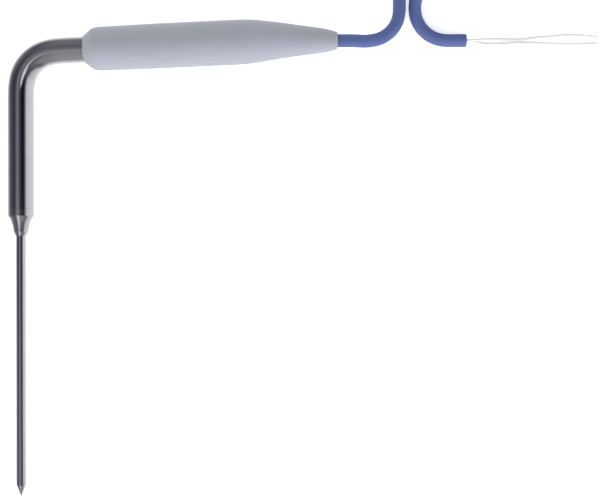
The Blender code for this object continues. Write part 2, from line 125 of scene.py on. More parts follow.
def bend_stations(count):
    """(distance off the corner along the arm, depth, heading) through the bend."""
    turn = math.pi - theta
    total = BEND_EASE + turn * BEND_R
    steps = 480
    ds = total / steps
    phi, x, y = 0.0, 0.0, 0.0
    track = [(0.0, 0.0, 0.0)]
    for i in range(steps):
        s = (i + 0.5) * ds
        k = min(smooth01(s / BEND_EASE), smooth01((total - s) / BEND_EASE)) / BEND_R
        half = phi + 0.5 * k * ds
        x += math.cos(half) * ds
        y += math.sin(half) * ds
        phi += k * ds
        track.append((x, y, phi))
    tangent = y / math.sin(phi)
    picked = [track[round(i * steps / (count - 1))] for i in range(count)]
    return tangent, total, [(tangent - px, py, ph) for px, py, ph in picked]


BEND_TANGENT, BEND_LENGTH, BEND = bend_stations(61)


def bend_frame(p, q, phi):
    return CORNER + U * p + W * q, U * math.sin(phi) + W * math.cos(phi), NORMAL


def arm_frame(a):
    return CORNER + U * a, W, NORMAL


def leg_frame(b):
    return CORNER + LEG * b, ACROSS, NORMAL


def tail_offset(a):
    a0, a1 = TAIL_TURN_A
    if a <= a0:
        return 0.0, 0.0
    u = min(1.0, (a - a0) / (a1 - a0))
    off = TAIL_TURN * (a1 - a0) * (u ** 3 - 0.5 * u ** 4)
    if a > a1:
        off += TAIL_TURN * (a - a1)
    return off, TAIL_TURN * smooth01(u)


def grip_frame(a):
    off, turn = tail_offset(a)
    centre = CORNER + U * a + V * off
    side = V * math.cos(turn) - U * math.sin(turn)
    return centre, side, Z


# ------------------------------------------------------------- mesh helpers
def fair(xs, ys, at):
    """Monotone cubic through (xs, ys): no bumps between the given stations."""
    xs, ys, at = (np.asarray(v, float) for v in (xs, ys, at))
    h = np.diff(xs)
    d = np.diff(ys) / h
    m = np.zeros(len(xs))
    for i in range(1, len(xs) - 1):
        if d[i - 1] * d[i] > 0.0:
            w1, w2 = 2 * h[i] + h[i - 1], h[i] + 2 * h[i - 1]
            m[i] = (w1 + w2) / (w1 / d[i - 1] + w2 / d[i])
    m[0], m[-1] = d[0], d[-1]
    i = np.clip(np.searchsorted(xs, at, side="right") - 1, 0, len(xs) - 2)
    t = (at - xs[i]) / h[i]
    return ((2 * t ** 3 - 3 * t ** 2 + 1) * ys[i] + (t ** 3 - 2 * t ** 2 + t) * h[i] * m[i]
            + (-2 * t ** 3 + 3 * t ** 2) * ys[i + 1] + (t ** 3 - t ** 2) * h[i] * m[i + 1])


def sides(count):
    """Angles round a section, starting and ending underneath."""
    return [-0.5 * math.pi + 2.0 * math.pi * k / count for k in range(count)]


def section(place, radius, angles):
    """Points of a round section: angle 0 is the first cross axis, 90 degrees is up."""
    centre, e1, e2 = place
    return [centre + e1 * (radius * math.cos(t)) + e2 * (radius * math.sin(t))
            for t in angles]


def skin(name, loops, along, around, mats, closed=False, caps=True, mat_of=None,
         sharp=32.0):
    """One piece from matching loops.

    along has each loop's distance in mm and around each corner's, with one more
    value at its end; both go to the UV map Axis, one unit per 100 mm. closed
    joins the last loop to the first. mat_of gives the material of a span.
    """
    n, m = len(loops[0]), len(loops)
    verts = [tuple(c * MM for c in p) for loop in loops for p in loop]
    faces, uvs, picks = [], [], []
    spans = m if closed else m - 1
    for i in range(spans):
        j = (i + 1) % m
        for k in range(n):
            l = (k + 1) % n
            faces.append((i * n + k, i * n + l, j * n + l, j * n + k))
            uvs += [(along[i], around[k]), (along[i], around[k + 1]),
                    (along[j], around[k + 1]), (along[j], around[k])]
            picks.append(mat_of(i) if mat_of else 0)
    if caps and not closed:
        for i, flip in ((0, True), (m - 1, False)):
            centre = sum((loops[i][k] for k in range(n)), Vector()) / n
            verts.append(tuple(c * MM for c in centre))
            c = len(verts) - 1
            for k in range(n):
                l = (k + 1) % n
                p, q = (l, k) if flip else (k, l)
                faces.append((c, i * n + p, i * n + q))
                uvs += [(along[i], 0.5 * (around[p] + around[q])),
                        (along[i] + 0.3, around[p]), (along[i] + 0.3, around[q])]
                picks.append(mat_of(-1 if flip else m) if mat_of else 0)
    mesh = bpy.data.meshes.new(name)
    mesh.from_pydata(verts, [], faces)
    layer = mesh.uv_layers.new(name="Axis")
    layer.data.foreach_set("uv", np.asarray(uvs, np.float32).ravel() * 0.01)
    mesh.polygons.foreach_set("material_index", np.asarray(picks, np.int32))
    for mat in mats:
        mesh.materials.append(mat)
    bm = bmesh.new()
    bm.from_mesh(mesh)
    bmesh.ops.recalc_face_normals(bm, faces=bm.faces[:])
    bm.to_mesh(mesh)
    bm.free()
    mesh.shade_smooth()
    mesh.set_sharp_from_angle(angle=math.radians(sharp))
    mesh.update()
    ob = bpy.data.objects.new(name, mesh)
    scene.collection.objects.link(ob)
    return ob


def turned(name, place_at, outer, bore, mats, count, mat_of=None, sharp=32.0):
    """A turned piece; outer and bore are (station, radius) lists, both one way."""
    angles = sides(count)
    rows = list(outer) + (list(bore)[::-1] if bore else [])
    loops = [section(place_at(s), r, angles) for s, r in rows]
    widest = max(r for _, r in rows)
    around = [2.0 * math.pi * widest * k / count for k in range(count + 1)]
    along = [0.0]
    for (s0, r0), (s1, r1) in zip(rows, rows[1:]):
        along.append(along[-1] + math.hypot(s1 - s0, r1 - r0))
    return skin(name, loops, along, around, mats, closed=bool(bore), mat_of=mat_of,
                sharp=sharp)


def smooth_curve(knots, spacing, resample=True):
    """Points about spacing apart on a smooth curve through the knots."""
    pts = [2 * knots[0] - knots[1]] + list(knots) + [2 * knots[-1] - knots[-2]]
    dense = []
    for i in range(1, len(pts) - 2):
        p0, p1, p2, p3 = pts[i - 1:i + 3]
        t0 = 0.0
        t1 = t0 + (p1 - p0).length ** 0.5
        t2 = t1 + (p2 - p1).length ** 0.5
        t3 = t2 + (p3 - p2).length ** 0.5
        for k in range(40):
            t = t1 + (t2 - t1) * k / 40.0
            a1 = p0.lerp(p1, (t - t0) / (t1 - t0))
            a2 = p1.lerp(p2, (t - t1) / (t2 - t1))
            a3 = p2.lerp(p3, (t - t2) / (t3 - t2))
            b1 = a1.lerp(a2, (t - t0) / (t2 - t0))
            b2 = a2.lerp(a3, (t - t1) / (t3 - t1))
            dense.append(b1.lerp(b2, (t - t1) / (t2 - t1)))
    dense.append(pts[-2].copy())
    return even(dense, spacing) if resample else dense


def even(dense, spacing):
    """The same line again with its points spaced evenly."""
    line = np.array([tuple(p) for p in dense])
    run = np.concatenate([[0.0], np.cumsum(np.linalg.norm(np.diff(line, axis=0), axis=1))])
    count = max(2, round(run[-1] / spacing) + 1)
    want = np.linspace(0.0, run[-1], count)
    return [Vector(p) for p in np.stack([np.interp(want, run, line[:, c]) for c in range(3)], 1)]


def cord_frames(points):
    """(centre, level cross axis, upright cross axis) at each point of a lying cord."""
    out = []
    for i, p in enumerate(points):
        q0, q1 = points[max(0, i - 1)], points[min(len(points) - 1, i + 1)]
        t = (q1 - q0).normalized()
        up = (Z - t * t.z).normalized()
        out.append((p, up.cross(t), up))
    return out


def droop(s, fall_from, fall_to, high, low_z):
    return high + (low_z - high) * smooth01((s - fall_from) / (fall_to - fall_from))


# ---------------------------------------------------------------- materials
def new_material(name):
    m = bpy.data.materials.new(name)
    m.use_nodes = True
    return m, m.node_tree, m.node_tree.nodes["Principled BSDF"]


def math_node(tree, op, *values, clamp=False):
    n = tree.nodes.new("ShaderNodeMath")
    n.operation = op
    n.use_clamp = clamp
    for i, v in enumerate(values):
        if isinstance(v, (int, float)):
            n.inputs[i].default_value = v
        else:
            tree.links.new(v, n.inputs[i])
    return n.outputs[0]


def axis_coords(tree, per_mm_along, per_mm_around):
    """The Axis map as a vector: so many units to the mm along and around."""
    uv = tree.nodes.new("ShaderNodeUVMap")
    uv.uv_map = "Axis"
    split = tree.nodes.new("ShaderNodeSeparateXYZ")
    tree.links.new(uv.outputs[0], split.inputs[0])
    join = tree.nodes.new("ShaderNodeCombineXYZ")
    tree.links.new(math_node(tree, "MULTIPLY", split.outputs[0], 100.0 * per_mm_along), join.inputs[0])
    tree.links.new(math_node(tree, "MULTIPLY", split.outputs[1], 100.0 * per_mm_around), join.inputs[1])
    return join.outputs[0]


def object_coords(tree, per_mm):
    tc = tree.nodes.new("ShaderNodeTexCoord")
    n = tree.nodes.new("ShaderNodeVectorMath")
    n.operation = "SCALE"
    tree.links.new(tc.outputs["Object"], n.inputs[0])
    n.inputs["Scale"].default_value = per_mm * 1000.0
    return n.outputs[0]


def noise(tree, coords, detail=3.0, rough=0.55, distort=0.0):
    n = tree.nodes.new("ShaderNodeTexNoise")
    n.inputs["Scale"].default_value = 1.0
    n.inputs["Detail"].default_value = detail
    n.inputs["Roughness"].default_value = rough
    n.inputs["Distortion"].default_value = distort
    tree.links.new(coords, n.inputs["Vector"])
    return n.outputs["Fac"]


def span(tree, value, low_in, high_in, low_out, high_out):
    n = tree.nodes.new("ShaderNodeMapRange")
    n.clamp = True
    tree.links.new(value, n.inputs["Value"])
    for key, v in (("From Min", low_in), ("From Max", high_in), ("To Min", low_out), ("To Max", high_out)):
        n.inputs[key].default_value = v
    return n.outputs["Result"]


def blend_colour(tree, fac, dark, light):
    n = tree.nodes.new("ShaderNodeMix")
    n.data_type = "RGBA"
    tree.links.new(fac, n.inputs["Factor"])
    n.inputs[6].default_value = (*dark, 1.0)
    n.inputs[7].default_value = (*light, 1.0)
    return n.outputs[2]


def bump(tree, shader, heights, distance_mm, strength=1.0):
    """heights is a list of (value, weight)."""
    total = None
    for value, weight in heights:
        part = math_node(tree, "MULTIPLY", value, weight)
        total = part if total is None else math_node(tree, "ADD", total, part)
    n = tree.nodes.new("ShaderNodeBump")
    n.inputs["Strength"].default_value = strength
    n.inputs["Distance"].default_value = distance_mm * MM
    tree.links.new(total, n.inputs["Height"])
    tree.links.new(n.outputs["Normal"], shader.inputs["Normal"])


def steel(name, tint, rough, aniso, lines=(5.0, 0.02), depth_mm=0.0006, smudge=0.03):
    """Steel with its finishing lines running round the axis."""
    m, tree, sh = new_material(name)
    fine = noise(tree, axis_coords(tree, *lines), 4.0, 0.6)
    broad = noise(tree, axis_coords(tree, 0.12, 0.10), 3.0, 0.6, 0.6)
    grain = noise(tree, object_coords(tree, 3.0), 2.0)
    mix = math_node(tree, "ADD", math_node(tree, "MULTIPLY", fine, 0.55),
                    math_node(tree, "MULTIPLY", broad, 0.45))
    dark = tuple(c * 0.93 for c in tint)
    light = tuple(min(1.0, c * 1.05) for c in tint)
    tree.links.new(blend_colour(tree, span(tree, mix, 0.3, 0.7, 0.0, 1.0), dark, light),
                   sh.inputs["Base Color"])
    worn = math_node(tree, "ADD", math_node(tree, "MULTIPLY", broad, 0.6),
                     math_node(tree, "MULTIPLY", grain, 0.4))
    tree.links.new(span(tree, worn, 0.25, 0.75, rough - smudge, rough + smudge),
                   sh.inputs["Roughness"])
    sh.inputs["Metallic"].default_value = 1.0
    sh.inputs["Anisotropic"].default_value = aniso
    tangent = tree.nodes.new("ShaderNodeTangent")
    tangent.direction_type = "UV_MAP"
    tangent.uv_map = "Axis"
    tree.links.new(tangent.outputs[0], sh.inputs["Tangent"])
    bump(tree, sh, [(fine, 1.0), (grain, 0.12)], depth_mm)
    return m


def moulded(name, dark, light, rough, fine_mm=0.18, depth_mm=0.004, specular=0.4):
    """Silicone or plastic in solid space: mottled, with a fine moulded grain."""
    m, tree, sh = new_material(name)
    broad = noise(tree, object_coords(tree, 0.09), 4.0, 0.6, 0.4)
    mid = noise(tree, object_coords(tree, 0.9), 3.0)
    fine = noise(tree, object_coords(tree, 1.0 / fine_mm), 2.0)
    mix = math_node(tree, "ADD", math_node(tree, "MULTIPLY", broad, 0.65),
                    math_node(tree, "MULTIPLY", mid, 0.35))
    tree.links.new(blend_colour(tree, span(tree, mix, 0.3, 0.7, 0.0, 1.0), dark, light),
                   sh.inputs["Base Color"])
    tree.links.new(span(tree, math_node(tree, "ADD", math_node(tree, "MULTIPLY", mid, 0.5),
                                        math_node(tree, "MULTIPLY", fine, 0.5)),
                        0.3, 0.7, rough - 0.06, rough + 0.06), sh.inputs["Roughness"])
    sh.inputs["Specular IOR Level"].default_value = specular
    bump(tree, sh, [(fine, 1.0), (mid, 0.6)], depth_mm)
    return m


def extruded(name, dark, light, rough, around_per_mm=1.6, depth_mm=0.004, specular=0.4):
    """A drawn sheath: faint lines along it, and slow changes of tone."""
    m, tree, sh = new_material(name)
    lines = noise(tree, axis_coords(tree, 0.03, around_per_mm), 3.0)
    broad = noise(tree, axis_coords(tree, 0.05, 0.12), 3.0, 0.6, 0.5)
    fine = noise(tree, object_coords(tree, 5.0), 2.0)
    mix = math_node(tree, "ADD", math_node(tree, "MULTIPLY", broad, 0.6),
                    math_node(tree, "MULTIPLY", lines, 0.4))
    tree.links.new(blend_colour(tree, span(tree, mix, 0.3, 0.7, 0.0, 1.0), dark, light),
                   sh.inputs["Base Color"])
    tree.links.new(span(tree, math_node(tree, "ADD", math_node(tree, "MULTIPLY", lines, 0.5),
                                        math_node(tree, "MULTIPLY", fine, 0.5)),
                        0.3, 0.7, rough - 0.06, rough + 0.06), sh.inputs["Roughness"])
    sh.inputs["Specular IOR Level"].default_value = specular
    bump(tree, sh, [(lines, 1.0), (fine, 0.35)], depth_mm)
    return m


def shiny(name, tint, rough, grain_mm=0.3, depth_mm=0.002):
    """Small metal pieces: brass and tinned copper, with a fine worked grain."""
    m, tree, sh = new_material(name)
    broad = noise(tree, object_coords(tree, 0.6), 3.0)
    fine = noise(tree, object_coords(tree, 1.0 / grain_mm), 3.0)
    tree.links.new(blend_colour(tree, span(tree, broad, 0.3, 0.7, 0.0, 1.0),
                                tuple(c * 0.86 for c in tint), tint), sh.inputs["Base Color"])
    tree.links.new(span(tree, fine, 0.3, 0.7, rough - 0.06, rough + 0.08), sh.inputs["Roughness"])
    sh.inputs["Metallic"].default_value = 1.0
    bump(tree, sh, [(fine, 1.0)], depth_mm)
    return m


TUBE_STEEL = steel("tube_steel", (0.60, 0.60, 0.61), 0.14, 0.60, smudge=0.02)
NEEDLE_STEEL = steel("needle_steel", (0.60, 0.61, 0.63), 0.19, 0.80, lines=(7.0, 0.03))
POINT_STEEL = steel("point_steel", (0.62, 0.63, 0.64), 0.30, 0.6, lines=(8.0, 0.3), depth_mm=0.001)
CONE_STEEL = steel("reducer_steel", (0.62, 0.62, 0.63), 0.23, 0.80, lines=(6.0, 0.01), depth_mm=0.001)
GRIP = moulded("grip_silicone", (0.274, 0.289, 0.328), (0.294, 0.309, 0.349), 0.52)
CABLE = extruded("cable_blue", (0.069, 0.097, 0.245), (0.083, 0.115, 0.282), 0.60, specular=0.2)
CABLE_CUT = moulded("cable_cut", (0.060, 0.088, 0.26), (0.075, 0.108, 0.30), 0.6, 0.12, 0.01)
LEAD = extruded("lead_white", (0.61, 0.61, 0.61), (0.67, 0.67, 0.67), 0.5, 4.0, 0.001, 0.3)
TINNED = shiny("crimp_tinned", (0.78, 0.77, 0.75), 0.30, 0.08)
TIE = moulded("tie_white", (0.70, 0.70, 0.69), (0.76, 0.76, 0.75), 0.42, 0.25, 0.003)

# -------------------------------------------------------------- steel probe
def spaced(first, last, step):
    count = max(1, math.ceil(abs(last - first) / step))
    return [first + (last - first) * i / count for i in range(count + 1)]


def round_mean(radius, count):
    """Radius midway between the corners and the flats of the solid's polygon."""
    return radius * 0.5 * (1.0 + math.cos(math.pi / count))


def along_tube():
    """(place, distance) down the middle of the bent tube, from inside the grip."""
    out = [(arm_frame(a), TUBE_END_A - a) for a in spaced(TUBE_END_A - 0.1, BEND_TANGENT + 0.5, 3.0)]
    start = TUBE_END_A - BEND_TANGENT
    out += [(bend_frame(*row), start + BEND_LENGTH * i / (len(BEND) - 1))
            for i, row in enumerate(BEND)]
    start += BEND_LENGTH - BEND_TANGENT
    out += [(leg_frame(b), start + b) for b in spaced(BEND_TANGENT + 0.5, TUBE_END_B - 0.3, 3.0)]
    return out, start + TUBE_END_B


tube_r = round_mean(TUBE_R, 32)
angles = sides(96)
middle, tube_length = along_tube()
loops = [section(arm_frame(TUBE_END_A), tube_r - 0.1, angles)]
run = [0.0]
for place, s in middle:
    loops.append(section(place, tube_r, angles))
    run.append(s)
loops.append(section(leg_frame(TUBE_END_B - 0.05), tube_r, angles))
loops.append(section(leg_frame(TUBE_END_B), tube_r - 0.05, angles))
loops.append(section(leg_frame(TUBE_END_B), TUBE_BORE_R + 0.05, angles))
run += [tube_length - 0.03, tube_length + 0.01, tube_length + 0.7]
loops.append(section(leg_frame(TUBE_END_B - 0.05), TUBE_BORE_R, angles))
run.append(tube_length + 0.75)
for place, s in reversed(middle):
    loops.append(section(place, TUBE_BORE_R, angles))
    run.append(2.0 * tube_length + 0.8 - s)
loops.append(section(arm_frame(TUBE_END_A), TUBE_BORE_R + 0.1, angles))
run.append(2.0 * tube_length + 0.9)
tube = skin("tube_body", loops, run, [2.0 * math.pi * tube_r * k / 96 for k in range(97)],
            [TUBE_STEEL], closed=True)
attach(tube, "root")
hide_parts("bent_tube")

# The reducer: a collar as wide as the tube, a hollow-sided cone and a chamfer.
cone_b = spaced(REDUCER_CONE[0][0], REDUCER_CONE[-1][0], 0.1)
cone_r = fair(*zip(*REDUCER_CONE), cone_b)
reducer = turned(
    "reducer_body", leg_frame,
    [(SPIGOT_TOP_B, SPIGOT_R - 0.25), (SPIGOT_TOP_B + 0.25, SPIGOT_R), (COLLAR_B, SPIGOT_R),
     (COLLAR_B, tube_r - 0.04), (COLLAR_B + 0.04, tube_r), (COLLAR_B + 0.3, tube_r),
     (49.9, tube_r), (50.11, tube_r), (50.22, tube_r - 0.02), (50.26, tube_r - 0.05)]
    + [(b, min(float(r), tube_r - 0.09)) for b, r in zip(cone_b[1:], cone_r[1:])]
    + [(55.13, 2.26), (55.7, 1.98), (REDUCER_END_B - 0.06, 1.71), (REDUCER_END_B, 1.66)],
    [(SPIGOT_TOP_B, 1.2), (45.7, 1.2), (45.7, NEEDLE_SEAT_R),
     (REDUCER_END_B - 0.04, NEEDLE_SEAT_R), (REDUCER_END_B, NEEDLE_SEAT_R + 0.03)],
    [CONE_STEEL], 96)
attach(reducer, "root")
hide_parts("reducer")

needle_r = round_mean(NEEDLE_R, 24)
shaft = spaced(NEEDLE_TOP_B + 0.06, NEEDLE_END_B - 0.04, 2.0)
needle = turned(
    "needle_shaft", leg_frame,
    [(NEEDLE_TOP_B, needle_r - 0.06)] + [(b, needle_r) for b in shaft]
    + [(NEEDLE_END_B, needle_r - 0.04)],
    [(NEEDLE_TOP_B, NEEDLE_BORE_R), (NEEDLE_END_B, NEEDLE_BORE_R)],
    [NEEDLE_STEEL], 64)
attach(needle, "root")
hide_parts("needle_tube")

point_b = spaced(NEEDLE_END_B + 0.09, POINT_B - 0.10, 0.15)
slope = (needle_r - POINT_R) / (POINT_B - 0.10 - point_b[0])
point = turned(
    "needle_point", leg_frame,
    [(130.6, 0.93), (130.9, 1.08), (NEEDLE_END_B + 0.05, 1.08),
     (NEEDLE_END_B + 0.05, needle_r - 0.04)]
    + [(b, needle_r - slope * (b - point_b[0])) for b in point_b]
    + [(POINT_B - 0.055, 0.092), (POINT_B - 0.02, 0.062), (POINT_B, 0.02)],
    None, [POINT_STEEL], 64, sharp=40.0)
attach(point, "root")
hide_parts("needle_tip")

# --------------------------------------------------------------------- grip
# Turned shape with a rolled mouth, flattened a little where it lies, and the
# mould's parting line as a fine ridge down both sides.
RIDGE = 0.05
base = [2.0 * math.pi * k / 112 for k in range(112)]
grip_angles = sorted({round(t, 6) for t in base
                      if min(abs(t), abs(t - math.pi), abs(t - 2.0 * math.pi)) > 0.04}
                     | {round(c + d, 6) for c in (0.0, math.pi)
                        for d in (-0.035, -0.018, -0.011, 0.0, 0.011, 0.018, 0.035)})


def ridge(t):
    d = abs((t + 0.5 * math.pi) % math.pi - 0.5 * math.pi)
    return RIDGE * smooth01((0.018 - d) / 0.010)


stations = ([19.74, 19.80, 19.88, 19.98] + spaced(20.1, 25.0, 0.2) + spaced(25.5, 68.0, 1.5)
            + spaced(68.6, 96.8, 0.8) + [97.05, 97.25, 97.4, 97.5, 97.56])
radii = [float(r) for r in fair(*zip(*GRIP_PROFILE), stations)]
outer = [(19.70, 4.215)] + list(zip(stations, radii)) + [(97.60, radii[-1] - 0.06)]
loops = []
for a, r in outer:
    centre, e1, e2 = grip_frame(a)
    line = smooth01((a - 20.0) / 1.5) * smooth01((97.3 - a) / 1.5)
    loop = []
    for t in grip_angles:
        q = r + line * ridge(t)
        p = centre + e1 * (q * math.cos(t)) + e2 * (q * math.sin(t))
        p.z = max(0.0, p.z)
        loop.append(p)
    loops.append(loop)
inner = [(97.60, 2.20), (97.54, GRIP_CABLE_BORE_R)]
inner += [(a, GRIP_CABLE_BORE_R) for a in spaced(95.0, 78.0, 2.0)]
inner += [(77.35, GRIP_CABLE_BORE_R + 0.1), (77.3, GRIP_CABLE_BORE_R + 0.2), (77.3, 3.2),
          (74.0, 3.2), (71.0, 3.2), (62.3, 3.2), (62.3, GRIP_BORE_R), (19.86, GRIP_BORE_R),
          (19.76, 4.165)]
for a, r in inner:
    loops.append(section(grip_frame(a), r, grip_angles))
rows = outer + inner
run = [0.0]
for (a0, r0), (a1, r1) in zip(rows, rows[1:]):
    run.append(run[-1] + math.hypot(a1 - a0, r1 - r0))
around = [GRIP_R * t for t in grip_angles] + [GRIP_R * (grip_angles[0] + 2.0 * math.pi)]
grip = skin("grip_body", loops, run, around, [GRIP], closed=True, sharp=50.0)
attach(grip, "root")
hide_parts("handle_grip")

# ------------------------------------------------------ what is inside, kept
INSIDE = {
    "sensor_element": moulded("ceramic", (0.80, 0.80, 0.75), (0.86, 0.86, 0.82), 0.45, 0.1, 0.001),
    "sensor_sleeve": moulded("amber_film", (0.58, 0.30, 0.06), (0.66, 0.36, 0.09), 0.3, 0.3, 0.001),
    "sensor_wire_a": moulded("wire_white", (0.80, 0.80, 0.79), (0.86, 0.86, 0.85), 0.35, 0.2, 0.001),
    "sensor_wire_b": moulded("wire_red", (0.50, 0.045, 0.035), (0.58, 0.06, 0.045), 0.35, 0.2, 0.001),
    "splice_crimp_a": TINNED,
    "splice_crimp_b": TINNED,
    "splice_sleeve_a": moulded("shrink", (0.012, 0.012, 0.012), (0.022, 0.022, 0.022), 0.45, 0.15, 0.004),
    "splice_sleeve_b": None,
    "core_lead_a": moulded("core_white", (0.60, 0.60, 0.60), (0.66, 0.66, 0.66), 0.42, 0.2, 0.001),
    "core_lead_b": None,
    "tube_plug": moulded("seal", (0.50, 0.10, 0.05), (0.58, 0.13, 0.07), 0.5, 0.2, 0.004),
    "cable_ferrule": shiny("brass", (0.68, 0.50, 0.20), 0.28),
}
INSIDE["splice_sleeve_b"] = INSIDE["splice_sleeve_a"]
INSIDE["core_lead_b"] = INSIDE["core_lead_a"]
for name, mat in INSIDE.items():
    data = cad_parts[name].data
    if not data.materials:
        data.materials.append(mat)
    for i in range(len(data.materials)):
        data.materials[i] = mat

# -------------------------------------------------------------------- cable
COIL_X, COIL_Y = RUN_X + COIL_OUT_R, COIL_BOTTOM_Y + COIL_OUT_R
COIL_RING_OUT = COIL_OUT_R + CABLE_R + 0.1
PITCH = 4.03
LAYER_TURNS = (COIL_OUT_R - COIL_IN_R) / PITCH
TURNS = 9.75
CHANGE_TURNS = TURNS - 2.0 * LAYER_TURNS
LAYER_1_Z = COIL_BASE_Z + CABLE_R
LAYER_2_Z = LAYER_1_Z + PITCH

exit_a = GRIP_PROFILE[-1][0]
exit_point, exit_side, _ = grip_frame(exit_a)
exit_dir = Vector((-exit_side.y, exit_side.x, 0.0)).normalized()
knots = [grip_frame(a)[0] for a in (SHEATH_START_A, 74.0, 79.0, 84.0, 89.0, 94.0)]
knots.append(exit_point.copy())
flat = exit_point + exit_dir * 4.5
knots.append(flat)
turn_r = 10.0
turn_x = RUN_X - turn_r
turn_y = flat.y + exit_dir.y * (turn_x - flat.x) + turn_r
for deg in (4, 24, 45, 66, 86):
    t = math.radians(deg)
    knots.append(Vector((turn_x + turn_r * math.sin(t), turn_y - turn_r * math.cos(t), 0.0)))
half_gap = math.sqrt((COIL_RING_OUT + 0.35) ** 2 - (COIL_OUT_R - CABLE_R) ** 2)
near_stop_y = COIL_Y - half_gap
for y in (turn_y + 7.0, turn_y + 14.0, near_stop_y, near_stop_y + 6.0, near_stop_y + 12.0, COIL_Y):
    knots.append(Vector((RUN_X, y, 0.0)))
near = smooth_curve(knots, 1.0, resample=False)
for p in near:
    p.z = 0.0
near = even(near, 1.0)
travel = -(exit_a - SHEATH_START_A)
for i, p in enumerate(near):
    if i:
        travel += math.hypot(p.x - near[i - 1].x, p.y - near[i - 1].y)
    p.z = droop(travel, 5.0, 44.0, AXIS_Z, FLOOR_CABLE_Z)
    if travel > 44.0:
        p.z = droop(p.y, near_stop_y - 2.0, COIL_Y, FLOOR_CABLE_Z, LAYER_1_Z)

# The step up from the lower to the upper layer, over the innermost turn: how
# high the cable has climbed at each fraction of a turn.
CLIMB_AT = (-0.15, -0.1, -0.05, 0.0, 0.05, 0.1, 0.15, 0.2, 0.25, 0.3, 0.4, 0.5, 0.6, 0.7)
CLIMB = (0.0, 0.1, 0.40, 0.82, 1.28, 1.72, 2.08, 2.44, 2.79, 3.12, 3.60, 3.88, 4.00, 4.03)


def coil_radius(turn):
    if turn <= LAYER_TURNS:
        return COIL_OUT_R - PITCH * turn
    return COIL_IN_R + PITCH * max(0.0, turn - LAYER_TURNS - CHANGE_TURNS)


def coil_height(turn):
    return LAYER_1_Z + float(np.interp(turn - LAYER_TURNS, CLIMB_AT, CLIMB))


def coil_point(turn):
    r = sum(coil_radius(min(TURNS, max(0.0, turn + d))) for d in (-0.03, 0.0, 0.03)) / 3.0
    z = sum(coil_height(turn + d) for d in (-0.03, -0.015, 0.0, 0.015, 0.03)) / 5.0
    phi = math.pi - 2.0 * math.pi * turn
    return Vector((COIL_X + r * math.cos(phi), COIL_Y + r * math.sin(phi), z))


coil = [coil_point(TURNS * i / 2400.0) for i in range(1, 2400)]

far_x, far_y = FAR_END
leave_x = COIL_X - half_gap
small_r = 10.0
left_x = RUN_X + 5.0
mid_y = far_y + small_r
big_r = COIL_BOTTOM_Y - mid_y
first = math.degrees(math.asin((left_x + big_r - leave_x) / big_r))
arc = []
for deg in (first, 30, 50, 70, 90):
    t = math.radians(deg)
    arc.append(Vector((left_x + big_r - big_r * math.sin(t), mid_y + big_r * math.cos(t), 0.0)))
far_start = arc[0].copy()
knots = [Vector((x, COIL_BOTTOM_Y, 0.0)) for x in (COIL_X, 97.5, 93.0, left_x + big_r)] + arc
for deg in (22, 45, 67, 87):
    t = math.radians(deg)
    knots.append(Vector((left_x + small_r - small_r * math.cos(t),
                         mid_y - small_r * math.sin(t), 0.0)))
knots.append(Vector((far_x - 3.0, far_y, 0.0)))
knots.append(Vector((far_x, far_y, 0.0)))
far = even(smooth_curve(knots, 1.0, resample=False), 1.0)
start = min(range(len(far)), key=lambda i: (far[i].xy - far_start.xy).length)
travel = 0.0
for i in range(start, len(far)):
    if i > start:
        travel += (far[i].xy - far[i - 1].xy).length
    far[i].z = droop(travel, -6.0, 24.0, LAYER_2_Z, FLOOR_CABLE_Z)
travel = 0.0
for i in range(start, -1, -1):
    if i < start:
        travel -= (far[i].xy - far[i + 1].xy).length
    far[i].z = droop(travel, -6.0, 24.0, LAYER_2_Z, FLOOR_CABLE_Z)

route = even(near + coil + far, 1.1)

# One cord with rounded cut edges; its far end shows the sheath's wall round
# the two cores.
angles = sides(28)
frames = cord_frames(route)
run = [0.0]
for p, q in zip(route, route[1:]):
    run.append(run[-1] + (q - p).length)
loops = [section((c, e1, e2), CABLE_R - (0.12 if i in (0, len(frames) - 1) else 0.0), angles)
         for i, (c, e1, e2) in enumerate(frames)]
end_c, end_1, end_2 = frames[-1]
back = (route[-1] - route[-2]).normalized()
loops.insert(-1, section((end_c - back * 0.12, end_1, end_2), CABLE_R, angles))
run.insert(-1, run[-1] - 0.12)
for r, depth in ((1.03, 0.0), (0.95, 0.08), (0.93, 1.5)):
    loops.append(section((end_c - back * depth, end_1, end_2), r, angles))
    run.append(run[-1] + 0.4)
last_outer = len(frames)
cable = skin("cable_run", loops, run, [2.0 * math.pi * CABLE_R * k / 28 for k in range(29)],
             [CABLE, CABLE_CUT], mat_of=lambda i: 1 if i >= last_outer else 0)
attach(cable, "root")
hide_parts("cable_near", "cable_coil", "cable_far")

